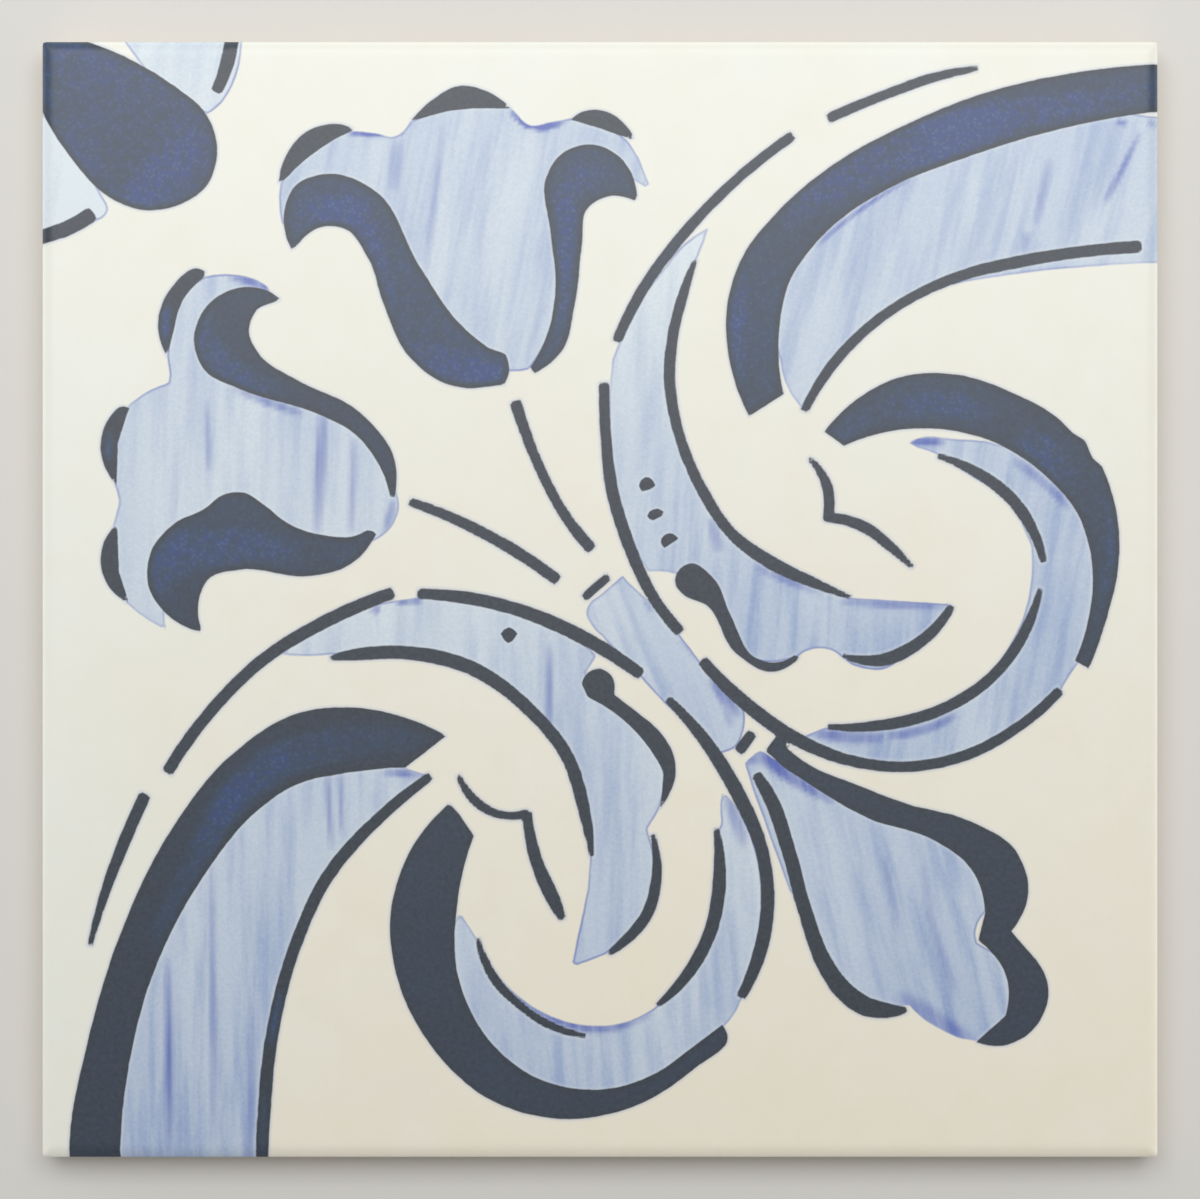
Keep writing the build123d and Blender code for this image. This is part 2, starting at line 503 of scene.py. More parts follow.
# %% Side tulip
wash_patch(
    [(-71, 57.8), (-65.5, 58.2), (-61, 57), (-59, 55.5)],
    [(-64, 53), (-67, 47), (-62, 40), (-46, 33), (-39, 26)],
    [(-36.4, 19), (-36, 17.2), (-37.2, 13.3), (-40, 10.8)],
    [(-46, 8), (-62, 10), (-75, 7), (-78.1, -2.3)], [(-78, -4), (-77.6, -5.6)],
    [(-80, -4.2), (-82.5, -2.6), (-84.8, -0.6)], [(-88, 5), (-87.2, 13.5)],
    [(-86.1, 17.5), (-86.9, 20.6)], [(-88, 27), (-84.3, 35)], [(-82, 36.7), (-79.5, 38), (-77.3, 38.8)],
    [(-77.1, 40.5), (-77.5, 43.4)], [(-77.6, 50), (-74, 56)], lean=2, top=0.38, bottom=0.32)
ink_patch(
    [(-70.7, 58.7), (-72, 59.3), (-76.5, 56.3), (-79.2, 50), (-77.5, 43.4)],
    [(-76, 50), (-74.3, 54.3), (-71, 57.6)])
ink_patch(
    [(-57.2, 53.7), (-60, 55.5), (-63.5, 56), (-69.5, 53.6), (-72.8, 47), (-70.8, 41), (-64.5, 37.7),
     (-50, 33), (-44, 29.7), (-39.2, 23.3), (-37.6, 18.5)],
    [(-36.8, 18.2), (-36.8, 25), (-43, 33.5), (-55, 39.7), (-60.5, 43.3), (-62.9, 48), (-61.2, 52.3)],
    blue=0.3)
ink_patch(
    [(-84.3, 34.3), (-85.5, 34.6), (-88.4, 31.8), (-89.5, 27), (-88, 22.3), (-86.6, 20.4)],
    [(-86.4, 28), (-84.6, 33.7)])
ink_patch([(-87, 13.2), (-89.2, 9.4), (-89, 4.2), (-84.3, -0.9)], [(-86.2, 5), (-86.5, 12.8)])
ink_patch(
    [(-40, 11.8), (-41.5, 12.4), (-43.5, 11.5), (-50, 11.6), (-56, 13.7), (-60, 16.8), (-64, 19.2),
     (-67.5, 18.8), (-71, 16.2), (-76, 13.8), (-80.3, 9), (-80.8, 2), (-78, -2.3), (-71.6, -5.8)],
    [(-71.5, -5), (-72, -1), (-70, 3.8), (-65, 5.3), (-52, 4.2), (-45, 6.1), (-41.5, 9.4)], blue=0.4)
ink_line((-33.4, 17.3, 0.85), (-25, 13.95, 1.0), (-15, 8.55, 1.1), (-8.3, 4.0, 1.1))
pool((-49.6, 34, 0.9), (-50, 24, 1.1), (-50.8, 11, 0.8), strength=0.8)
pool((-44.2, 29, 0.6), (-44.6, 12, 0.7), strength=0.55)
pool((-70.5, 36, 0.6), (-70.1, 23, 0.6), strength=0.45)
pool((-66.5, 58, 0.6), (-61.5, 56.6, 0.9), (-58, 55, 0.6), strength=0.9)
pool((-65.5, 38, 0.7), (-60.5, 35.8, 0.9), (-53, 33.2, 0.6), strength=0.7)
pool((-37, 18, 0.7), (-38.2, 12, 0.9), strength=0.6)
glow((-71, 53, 2.5), (-69.5, 44, 3), (-65, 40.5, 2.5), (-55, 37, 2), strength=0.9)
glow((-79, -2, 3), (-76, 8, 4.5), (-68, 9.5, 4), (-50, 7.5, 2.5), strength=1.0)
glow((-78.4, 53, 1.2), (-78, 46, 1.2), strength=1.6)
glow((-88.4, 30, 1.2), (-88, 25, 1.2), strength=1.1)
print("side tulip:", covered())

# %% [markdown]
# ## The upper scroll
# A broad band sweeps in from the right edge and ends bluntly near the middle. Beside it runs a thin
# line, with wash between the two, and outside it a broken contour follows the whole scroll.

# %% Upper scroll
wash_patch(
    [(32.3, 43), (33.8, 37.6), (36.5, 34)], [(43, 44), (50, 50), (58, 54.8)],
    [(62, 56.3), (75, 58.4), (88, 59.7), (101, 60.4)], [(101, 86.6), (97.5, 86.7), (95, 87.2)],
    [(85, 88), (70, 84), (55, 79), (45, 73), (37, 65), (31, 56), (30, 50)], lean=14, top=0.49,
    bottom=0.39)
ink_patch(
    [(26.7, 32.8), (23, 44), (22.6, 51), (25.3, 61), (32.5, 70.2), (42, 78.1), (55, 85.2), (70, 91.1),
     (85, 94.4), (101, 96)],
    [(101, 87.6), (85, 84.9), (65, 79), (52, 73.8), (40, 65.3), (34, 57), (32.1, 48), (32.9, 36.8)],
    blue=0.5)
ink_line(
    (36.9, 34.4, 0.8), (40.8, 40.9, 0.95), (47.6, 48.3, 0.95), (56, 54.2, 0.92), (65, 58.1, 1.0),
    (75, 60.5, 1.12), (85, 62.15, 1.08), (96, 63.2, 1.12))
ink_line((41.6, 86.5, 0.95), (52, 90.8, 0.9), (60, 93.6, 0.88), (67.2, 95.1, 0.55))
ink_line((33.9, 82.7, 0.95), (25, 75.7, 0.95), (15, 65.5, 1.0), (7.2, 54.8, 1.0), (3.3, 47, 0.95))
ink_line(
    (0.75, 37.9, 1.0), (1.0, 30, 1.0), (2.1, 20, 1.15), (5.1, 10, 1.15), (9.8, 0, 1.05),
    (13.8, -5.2, 1.05))
ink_line(
    (18.9, -11.6, 1.05), (25, -17.7, 1.25), (35, -24.9, 1.25), (45, -28.9, 1.05), (55, -29.95, 1.0),
    (65, -28.1, 1.0), (75, -22.8, 0.95), (81.9, -16.8, 0.95))
pool((80.6, 79, 0.9), (78, 67, 0.8), strength=0.5)
pool((97, 84, 0.5), (93.5, 77, 0.6), (90.5, 71, 0.7), strength=0.75)
pool((76.6, 66, 0.8), (75.5, 62, 0.6), strength=0.5)
pool((38.5, 63, 0.4), (44, 67.8, 0.5), (50, 72.1, 0.4), (56, 75.6, 0.4), strength=0.8)
pool((92.5, 85.6, 0.6), (94.5, 85.2, 0.6), strength=0.8)
pool((97.8, 85.4, 0.6), (100, 85.2, 0.6), strength=0.8)
glow((25.6, 35, 2), (24.3, 48, 2.2), (27, 60, 2.2), strength=0.9)
glow(
    (29, 61, 3), (42, 74.5, 4.5), (56, 81, 5), (74, 86.5, 4), (90, 89.5, 3), (110, 93, 3), strength=1.15)
glow((15, 66, 1.2), (7, 54, 1.2), strength=1.2)
print("upper scroll:", covered())

# %% [markdown]
# ## The upper volute
# The scroll rolls up into a volute: a dark crescent with a nick in its back, and inside it a pale one
# between two thin lines.

# %% Upper volute
wash_patch(
    [(55.1, 28.2), (58, 29.1), (63, 28.8), (69, 28.4)], [(78, 26), (89, 13), (90, 0), (86, -11)],
    [(84, -13.8), (82.6, -16.3)], [(75, -22.8), (65, -28), (55, -30), (45, -28.8), (37, -25.4)],
    [(36.6, -24.4), (40.3, -23)], [(50, -22.5), (61, -19.7), (71, -13)],
    [(75.6, -4), (77.2, 3), (77.3, 9.5)], [(74, 17.4), (60.4, 26)], [(59, 26.6), (57, 27.2)], lean=10,
    top=0.5, bottom=0.55)
ink_patch(
    [(40.2, 30.1), (47.5, 36.9), (54, 39.9), (64, 40.3), (74, 37), (81.5, 32.9), (84.7, 29.9)],
    [(86.9, 28.5), (88.3, 25.3)], [(90, 23.8), (92.4, 16.5), (92.9, 6), (91.2, -2), (87.6, -12.4)],
    [(85.1, -11), (87.8, -2), (88.2, 6), (85.6, 15.3), (80, 22), (71, 28), (60, 30.6), (50, 29.7),
     (43.7, 27.5)], blue=0.45)
ink_line((61, 25.6, 0.55), (67.6, 22.7, 1.0), (74.1, 17.6, 1.15), (78.3, 10.7, 0.9), (79.35, 7.3, 0.65))
ink_line(
    (78.75, 1.5, 0.55), (76.3, -5.4, 1.0), (70.6, -13.5, 1.0), (61, -19.8, 1.05), (50, -22.6, 1.0),
    (41.3, -22.85, 0.55))
pool((55, 28.2, 0.8), (62, 28.2, 0.8), strength=1.0)
pool((74, 25, 0.8), (80, 20.5, 0.9), (84.5, 16, 0.7), strength=0.7)
pool((38, -23.7, 0.8), (43, -24.5, 1.2), (51, -24.7, 0.8), strength=0.85)
pool((51.5, -24.4, 0.7), (57, -23.6, 0.9), (64, -20.6, 0.6), strength=0.8)
glow((40, 29, 2), (44, 30.5, 2.5), (50, 34, 2.5), strength=0.85)
glow((48, 33.5, 2.5), (60, 35, 3), (73, 32.5, 2.5), strength=0.9)
glow((75, 29.5, 2.5), (80, 26, 3.2), (84, 19, 2.5), strength=1.15)
glow((91, 20, 1.4), (91.8, 8, 1.6), (91, -3, 1.4), strength=0.8)
print("upper volute:", covered())

# %% [markdown]
# ## The upper leaf
# From the middle a long leaf climbs beside the scroll. Its wash also fills a small curl that ends in a
# ball and a lens-shaped drop. Three dots and a mark like a bird in flight fill the space, as painters
# do.

# %% Upper leaf
wash_patch(
    [(19.4, 66.6), (14, 62.6), (12, 60)], [(8, 55), (4.4, 48), (3, 45)], [(2.2, 43), (1.8, 38.5)],
    [(1.5, 30), (2.5, 20), (4.5, 12), (8, 6)], [(8.6, 5), (11, 5.05), (13.6, 4.6)],
    [(17, 3), (22, -3), (26, -10), (35.2, -10.4)], [(36.3, -9.6), (38, -8.9), (39.5, -8.7), (43, -10)],
    [(45, -11.6), (47.5, -12.4), (50, -12.6), (53, -11.4)], [(60, -4.5), (63.2, -1.2)],
    [(62.5, -0.8), (44.5, 0.3)], [(30, 7), (21, 15), (15.6, 26), (12.5, 40), (13.6, 50), (16.6, 59.5)],
    [(17.6, 61.5), (18.6, 64)], lean=4, top=0.08, bottom=0.6)
ink_line(
    (16.9, 60.4, 0.5), (15, 55, 0.9), (13.2, 48, 1.0), (12.45, 40, 1.05), (13.8, 31, 0.98),
    (18.1, 20, 1.05), (24, 11.4, 1.05), (30, 7.0, 1.25), (40, 2.3, 0.85), (44.6, 0.5, 0.45))
ink_patch(
    [(13.4, 3.6), (14.2, 5.4), (16.2, 6.5), (20.2, 4), (23.5, -3), (28, -10.5), (31.5, -11.3),
     (35, -9.9)], [(35.8, -10.4), (31, -13), (24.3, -9.6), (19, -1), (14.9, 0.9), (13.6, 2.4)])
ink_line(
    (43.8, -10.1, 0.45), (46.5, -10.8, 0.8), (50, -10.9, 1.1), (57.5, -7.5, 1.1), (62.7, -1.7, 0.75))
ink_patch([(7.6, 19.3), (7, 20.8), (8.3, 22), (10, 20.5)], [(9.3, 19.8)])
ink_patch([(9.3, 14.1), (8.4, 15.2), (10, 16.3), (11.6, 15.5)], [(10.8, 14.8)])
ink_patch([(11.5, 9.2), (10.9, 10.8), (12.3, 11.9), (14.1, 10.9)], [(13.2, 10.3)])
ink_line((37.8, 25.0, 0.5), (40.6, 20.5, 0.95), (40.9, 14.9, 0.95))
ink_line((41, 14.7, 0.9), (47.5, 12.9, 1.05), (52, 9.5, 0.95), (55.7, 6.0, 0.5))
pool((19.8, 15, 0.9), (21.5, 8.5, 1.2), strength=0.55)
pool((28, 5.8, 0.7), (34, 3.3, 0.8), (40, 1.0, 0.6), strength=0.6)
pool((43, -0.3, 0.7), (52, -0.8, 0.9), (62, -1.3, 0.7), strength=0.75)
print("upper leaf:", covered())

# %% [markdown]
# ## The stem between the halves
# A short wash with two dashes ties the upper and the lower scroll together.

# %% Stem
wash_patch(
    [(4, 4.3), (0, 0.8), (-1.7, -0.5), (-2.5, -2.4), (-1.6, -4.4), (0.4, -6.6)],
    [(4, -10.5), (7.4, -14)], [(9, -15.9), (11.6, -18.6)], [(16, -22.5), (21, -28)],
    [(22, -27.4), (24.3, -26.4), (25.7, -23.5), (25.9, -20.4)], [(25, -17.7), (18.2, -11.6)],
    [(16.5, -9.2), (14.8, -7)], [(10, -0.5), (8.2, 0.2)], [(5.6, 2.6)], lean=-20, top=0.4, bottom=0.5)
ink_line((-2.4, 0.75, 0.8), (1.0, 3.7, 0.8))
ink_line((26.8, -24.6, 1.0), (25.3, -26.6, 1.0))
pool((20.2, -14.3, 0.9), (22.4, -17.2, 1.3), (24.7, -20.6, 1.0), strength=0.9)
pool((22.9, -16.5, 0.8), (23.4, -23, 0.8), strength=0.5)
pool((14.5, -7, 0.5), (18, -10.6, 0.5), strength=0.7)
pool((7.8, 0.2, 0.5), (9.6, -2.2, 0.6), strength=0.5)
print("stem:", covered())

# %% [markdown]
# ## The lower scroll and volute
# The lower half answers the upper one across the diagonal. The band runs off the bottom edge, and the
# volute rolls up beside the middle. Here the wash hung down in long upright streaks.

# %% Lower scroll
wash_patch(
    [(-36, -29.8), (-31, -31.5)],
    [(-37, -36.5), (-45, -45), (-50, -53), (-55, -63), (-58.5, -76), (-60.6, -101)],
    [(-88, -101), (-87, -85), (-82, -69), (-74, -53), (-64, -39), (-55, -31.5), (-45, -29.5)], lean=0,
    top=0.42, bottom=0.58)
ink_patch(
    [(-27.5, -24.4), (-35, -21.1), (-47, -19.3), (-54, -20.3), (-66, -27.8), (-77, -41.5), (-86, -60),
     (-92, -80), (-95, -96), (-95.1, -101)],
    [(-86, -101), (-84.5, -84), (-80.6, -68.5), (-71.3, -50), (-61, -37.5), (-54.5, -33.2),
     (-46, -31.2), (-34.8, -30.1)], blue=0.15)
ink_line(
    (-31, -32.1, 0.85), (-39.4, -39, 1.05), (-48.8, -49.6, 1.15), (-54.4, -61.5, 1.1),
    (-58.4, -76, 1.15), (-60.2, -92, 1.2), (-60.6, -101, 1.1))
ink_line((-81.9, -35.8, 1.1), (-86, -45.3, 1.1), (-89.5, -55, 0.8), (-91.3, -61.6, 0.5))
ink_line(
    (-77.1, -30.2, 1.1), (-69.8, -20.1, 1.1), (-60, -10.5, 1.12), (-50, -4.35, 1.2), (-38, 0.9, 1.15))
ink_line((-31.8, 1, 0.95), (-25, 0.45, 1.15), (-15, -1.75, 1.2), (-5, -5.8, 1.3), (6.6, -12.9, 1.12))
ink_line(
    (12.6, -18.3, 0.8), (18.6, -25, 1.15), (24.8, -35, 1.35), (29, -45, 1.2), (30, -55.5, 1.25),
    (28, -65.2, 1.2), (25.6, -70.6, 0.9))
pool((-69.5, -45, 0.5), (-69.4, -98, 0.6), strength=0.5)
pool((-77.6, -64, 0.6), (-77.3, -82, 0.7), (-77.2, -99, 0.8), strength=0.75)
pool((-62, -72, 0.9), (-62.8, -101, 0.9), strength=0.35)
pool((-49, -31, 0.7), (-48, -45, 0.6), strength=0.6)
pool((-46.7, -31, 0.5), (-46.4, -42, 0.5), strength=0.45)
pool((-39, -31, 0.7), (-31.5, -31.5, 0.8), strength=0.8)
glow(
    (-30, -26, 2), (-45, -25.5, 3.5), (-57, -29, 3.5), (-67, -37, 3), (-73, -48, 2.5), (-81, -64, 2),
    strength=0.85)
glow((-57.6, -70, 1.2), (-58.6, -80, 1.2), strength=3.0)
glow((-60.2, -88, 1.2), (-60.6, -104, 1.2), strength=1.4)
print("lower scroll:", covered())

# %% Lower volute
wash_patch(
    [(-25, -56.2), (-22.2, -60.6), (-18.2, -67.5), (-12, -73), (-4, -76.1), (0, -76.4), (4, -75.9),
     (10, -73)], [(14.5, -68.5), (19.4, -60), (21, -50), (20.9, -42)],
    [(21.8, -40), (21.6, -37), (21.9, -34.7)],
    [(22.6, -35), (25, -38), (28, -45), (29, -57), (27, -66), (25.4, -71.6)],
    [(24.3, -74), (22.8, -75.9)],
    [(12, -85), (0, -89.5), (-12, -87), (-20, -81), (-26, -70), (-27.5, -60)], lean=-4, top=0.25,
    bottom=0.6)
ink_patch(
    [(-27, -36.5), (-34, -45), (-37.5, -56), (-36, -69), (-30.5, -79.7), (-20, -89.5), (-7, -93.1),
     (6, -90.9), (17, -84), (22.9, -78.2), (21.9, -76.2)],
    [(12, -83.7), (0, -87.8), (-11, -85.9), (-20, -78.8), (-25.3, -68), (-25.5, -54), (-22.6, -42.3)],
    [(-25, -38.8)], blue=0.2)
ink_line(
    (-21.8, -61.2, 0.5), (-19.2, -67.5, 0.9), (-14.4, -72.7, 0.75), (-8.5, -76.5, 0.75),
    (-2.9, -78.1, 0.5))
ink_line(
    (20.95, -41.6, 0.6), (21.4, -50, 1.2), (19.6, -60, 1.2), (14.6, -68.5, 1.0), (10.6, -72.5, 0.5))
pool((-18, -68, 0.6), (-8, -75.3, 0.9), (0, -76.8, 1.0), (9.5, -73.6, 0.8), strength=0.85)
pool((21.8, -34, 0.9), (24, -38.5, 1.2), (25.8, -44, 0.9), strength=0.5)
print("lower volute:", covered())

# %% [markdown]
# ## The lower leaf and the palmette
# The leaf repeats the upper one lying down. The palmette, a half-open fan with a dark two-lobed
# outline, closes the design towards the free corner.

# %% Lower leaf
wash_patch(
    [(-57.2, -9.8), (-54, -10.1), (-48.8, -9.9)],
    [(-40, -9.7), (-30, -10.3), (-20, -14), (-10, -22), (-4, -33), (-1.7, -45)],
    [(-2.2, -52), (-4.2, -61.5), (-4.9, -65)], [(-4.4, -65.6), (1, -63.6)],
    [(6, -59.6), (9.7, -52), (9, -43)], [(8.4, -41.2), (10.4, -38)],
    [(12, -33), (10, -27), (5, -21), (0, -17)], [(-2.6, -13.2), (-0.6, -10)],
    [(-5, -6), (-15, -1.8), (-25, 0.4), (-32.4, 0.4)], [(-33.5, 0.2), (-37.4, -0.3)],
    [(-44, -1.5), (-50, -4.4), (-55, -7.5)], lean=0, top=0.28, bottom=0.5)
ink_line(
    (-47.9, -10.4, 0.5), (-45, -10, 0.95), (-34, -9.6, 1.25), (-23, -12.3, 1.3), (-12.9, -19.5, 1.2),
    (-5.9, -28.1, 1.2), (-2.8, -38, 1.1), (-1.5, -45.6, 0.5))
ink_patch(
    [(-3.3, -15.2), (-2.3, -13.2), (0, -12.4), (2.2, -13.9), (2.5, -17)],
    [(9, -22), (13.6, -30.5), (10.8, -37.4)], [(11.4, -31), (5.5, -22.8), (-2.2, -17.5)])
ink_line(
    (9.5, -42.6, 0.55), (10.1, -50, 0.95), (8.2, -56.8, 1.05), (3.6, -61.9, 0.8), (1.8, -63.3, 0.5))
ink_patch([(-17.8, -6.1), (-16.4, -5), (-14.8, -6.2)], [(-15.5, -7.2), (-16.4, -7.8), (-17.3, -7.1)])
ink_line((-25.2, -31.9, 0.5), (-22, -36.4, 0.9), (-18, -38.5, 0.75), (-13.6, -38.5, 0.85))
ink_line((-13, -38.9, 0.9), (-11.5, -46.5, 1.15), (-8, -54.5, 1.15), (-7, -56.7, 0.75))
pool((-36.8, -0.4, 0.6), (-31.8, -0.2, 0.6), strength=0.85)
pool((-9, -8, 0.6), (-9.2, -25, 0.7), strength=0.5)
pool((-41, -2.4, 0.8), (-39.2, -1.2, 0.7), strength=0.6)
print("lower leaf:", covered())

# %% Palmette
wash_patch(
    [(26, -29.3), (27.4, -28), (28.7, -27.2), (30, -27.8)],
    [(36, -31.5), (45, -36), (55, -39.5), (64, -43), (69, -48.5), (70.5, -54)],
    [(68.1, -57.3), (67.3, -60.5), (67.5, -61.5)],
    [(72, -64), (75.5, -70), (74, -76), (69, -79), (67.2, -79.1)],
    [(64.5, -78.6), (61, -77), (58.2, -75.3), (55.4, -72.7)],
    [(50, -73.2), (44, -70.5), (39, -62.5), (36, -54)], [(34, -52.3), (31, -44), (27.2, -33.5)],
    lean=-14, top=0.42, bottom=0.6)
ink_patch(
    [(29.6, -27.1), (31.9, -24)], [(33, -24.9)],
    [(33.6, -26.7), (35.8, -28.5), (38.4, -30.1), (46, -33.2), (55, -36.6), (66, -39.6), (74.5, -45),
     (76.8, -51.5), (73.7, -59.5)],
    [(78.2, -64.6), (80.4, -70.5), (77.7, -77), (72, -80), (67.4, -79.3)],
    [(72.6, -74.6), (73.2, -69.5), (67.8, -61.1)],
    [(69, -56), (66.5, -48.3), (59.5, -43), (48, -39.2), (38, -33.4), (33, -30.1)], blue=0.15)
ink_line(
    (28.4, -32, 1.0), (30.2, -35, 1.25), (33.8, -45, 1.3), (36.5, -55, 1.3), (40.7, -66, 1.55),
    (43.8, -70.2, 1.75), (47.5, -72.8, 1.75), (51, -73.6, 1.35), (54.5, -73.6, 0.6))
pool(
    (25.5, -29.2, 1.0), (29, -28.2, 1.4), (33, -30.9, 1.4), (37.5, -33.8, 1.1), (42, -36.3, 0.7),
    strength=1.0)
pool((53.5, -71.2, 1.4), (57, -73.3, 1.8), (63, -77.2, 1.6), (67.5, -79, 0.8), strength=0.65)
pool((50.8, -46, 0.6), (53.5, -60, 0.7), strength=0.35)
pool((57.6, -47, 0.6), (60.5, -61, 0.8), (64.2, -71, 0.7), strength=0.4)
print("palmette:", covered())

# %% [markdown]
# ## The painting goes into the mesh
# Blender keeps extra numbers per vertex as attributes, and a material can read them by name. They stay
# with the mesh when it moves and blend smoothly between vertices, so the edge of a depth field comes
# out as a clean curve although the grid is coarser than the line. One more number joins them: a
# gradient that makes the glaze creamier towards the bottom and whiter towards the top and near the left
# edge. It grows a little faster than the distance from the top.

# %% Attributes of the coat
# A colour gradient for the glaze: creamier towards the bottom, whiter towards the top and the left edge
from_top = np.clip((1 - plan[:, 1] / half_side) / 2, 0, 1)
leftward = np.clip(-plan[:, 0] / half_side, 0, 1)
cream_gradient = (0.12 + 0.88 * from_top ** 1.2) * (1 - 0.9 * leftward ** 2.5)
numbers = {"ink": ink, "wash": wash, "load": load, "pooled": pooled, "cobalt": cobalt, "cream_gradient": cream_gradient}
for name, values in numbers.items():
    coat_mesh.attributes.new(name, "FLOAT", "POINT").data.foreach_set("value", values)
coat_mesh.attributes.new("brush", "FLOAT_VECTOR", "POINT").data.foreach_set("vector", brush.ravel())
print("attributes:", [*numbers, "brush"])

# %% [markdown]
# ## The white glaze
# Tin glaze is opaque and satin after a slow cooling. To the eye it is a cool white that is set to turn
# cream towards the bottom and stay whitest towards the top and the left edge, with faint clouds, a very
# fine speckle and a soft sheen that lies over paint and ground alike. The painted face is one material,
# because paint and glaze melted into one skin. Its first step is the bare glaze.

# %% Bare glaze
GLAZE_CLOUD = 18 * MM
GLAZE_STAIN = 6 * MM
# The pits of a satin glaze are finer than 0.1 mm; they are drawn coarser, or they would not show
GLAZE_SPECKLE = 0.9 * MM

painted, tree = new_material("satin_tin_glaze_painted_in_cobalt")
place = add_node(tree, "TexCoord", {}, {}, "Object")
cloud = add_node(tree, "TexNoise", {"Scale": 1 / GLAZE_CLOUD, "Detail": 3.0}, {"Vector": place})
speckle = add_node(tree, "TexNoise", {"Scale": 1 / GLAZE_SPECKLE, "Detail": 2.0}, {"Vector": place})
cream_gradient_fac = add_node(tree, "Attribute", {"attribute_name": "cream_gradient"}, {}, "Fac")
cloud_shift = add_node(
    tree, "MapRange", {"From Min": 0.3, "From Max": 0.7, "To Min": -0.15, "To Max": 0.15},
    {"Value": cloud})
# Cool white to cream by the gradient from the top and the left edge to the bottom, plus faint random clouds
cream_share = add_node(
    tree, "Math", {"operation": "ADD", "use_clamp": True}, {0: cream_gradient_fac, 1: cloud_shift})
cloudy = add_node(
    tree, "Mix", {"data_type": "RGBA", 6: linear("#EFF0E6"), 7: linear("#F0E9D6")}, {0: cream_share}, 2)
stain = add_node(tree, "TexNoise", {"Scale": 1 / GLAZE_STAIN, "Detail": 4.0}, {"Vector": place})
stained = add_node(
    tree, "Mix", {"data_type": "RGBA", "blend_type": "OVERLAY", 0: 0.12}, {6: cloudy, 7: stain}, 2)
speckled = add_node(
    tree, "Mix", {"data_type": "RGBA", "blend_type": "OVERLAY", 0: 0.05}, {6: stained, 7: speckle}, 2)
print("bare glaze:", len(tree.nodes), "nodes")

# %% [markdown]
# ## Edges that a brush leaves
# A depth of zero is the exact edge of a mark. A little noise added to the depth makes the edge waver as
# the glaze drew the colour, and a smooth step over a fraction of a millimetre gives it the softness of
# fired paint. Cobalt also creeps a hair's breadth out of the ink and tints the white beside it.

# %% Masks for ink and wash
EDGE_WAVER = 1.8 * MM
waver = add_node(tree, "TexNoise", {"Scale": 1 / EDGE_WAVER, "Detail": 3.0}, {"Vector": place})
waver_mm = add_node(tree, "MapRange", {"To Min": -0.12, "To Max": 0.12}, {"Value": waver})
depths = {}
for name in ("ink", "wash"):
    depth = add_node(tree, "Attribute", {"attribute_name": name}, {}, "Fac")
    depths[name] = add_node(tree, "Math", {"operation": "ADD"}, {0: depth, 1: waver_mm})
ink_mask = add_node(
    tree, "MapRange", {"interpolation_type": "SMOOTHSTEP", "From Min": -0.14, "From Max": 0.14},
    {"Value": depths["ink"]})
wash_mask = add_node(
    tree, "MapRange", {"interpolation_type": "SMOOTHSTEP", "From Min": -0.2, "From Max": 0.2},
    {"Value": depths["wash"]})
bleed = add_node(
    tree, "MapRange",
    {"interpolation_type": "SMOOTHSTEP", "From Min": -0.65, "From Max": -0.05, "To Max": 0.35},
    {"Value": depths["ink"]})
tinted = add_node(tree, "Mix", {"data_type": "RGBA", 7: linear("#AEBBDD")}, {0: bleed, 6: speckled}, 2)
print("masks from", list(depths))

# %% [markdown]
# ## The streaked wash
# A wash is watery cobalt. To the eye it is a pale blue with streaks along the brush, fine grains of
# pigment, a darker rim where it dried last and a paler seam beside the ink, which pushed the water
# away. The brush map stretches noise along the pull of the brush, patch by patch.

# %% Wash colour
# Width and length in millimetres of the brush's broad sweeps and of the streaks of its hairs
STROKES = {"sweep": (11.0, 60.0), "streak": (2.4, 26.0)}
# Ground cobalt is finer than 0.1 mm; its grain is drawn coarser, or it would not show
PIGMENT_GRAIN = 0.55 * MM

pull = add_node(tree, "Attribute", {"attribute_name": "brush"}, {}, "Vector")
streaks = {}
for name, (width, length) in STROKES.items():
    stretched = add_node(tree, "Mapping", {"Scale": (1 / width, 1 / length, 7.3)}, {"Vector": pull})
    streaks[name] = add_node(tree, "TexNoise", {"Scale": 1.0, "Detail": 3.0}, {"Vector": stretched})
grain = add_node(tree, "TexNoise", {"Scale": 1 / PIGMENT_GRAIN, "Detail": 2.0}, {"Vector": place})
patch_load = add_node(tree, "Attribute", {"attribute_name": "load"}, {}, "Fac")
sweep_load = add_node(
    tree, "MapRange", {"From Min": 0.3, "From Max": 0.7, "To Min": -0.25, "To Max": -0.02},
    {"Value": streaks["sweep"]})
streak_load = add_node(
    tree, "MapRange",
    {"interpolation_type": "SMOOTHSTEP", "From Min": 0.38, "From Max": 0.75, "To Max": 0.45},
    {"Value": streaks["streak"]})
streak_room = add_node(tree, "Math", {"operation": "ADD", 1: 0.25}, {0: patch_load})
streak_here = add_node(tree, "Math", {"operation": "MULTIPLY"}, {0: streak_load, 1: streak_room})
grain_load = add_node(
    tree, "MapRange", {"From Min": 0.3, "From Max": 0.7, "To Min": -0.05, "To Max": 0.09},
    {"Value": grain})
swept = add_node(tree, "Math", {"operation": "ADD"}, {0: patch_load, 1: sweep_load})
streaked = add_node(tree, "Math", {"operation": "ADD"}, {0: swept, 1: streak_here})
full_load = add_node(
    tree, "Math", {"operation": "ADD", "use_clamp": True}, {0: streaked, 1: grain_load})
watery = add_node(
    tree, "Mix", {"data_type": "RGBA", 6: linear("#DCE6EB"), 7: linear("#8BA1CC")}, {0: full_load}, 2)
print("wash streaks:", list(streaks))

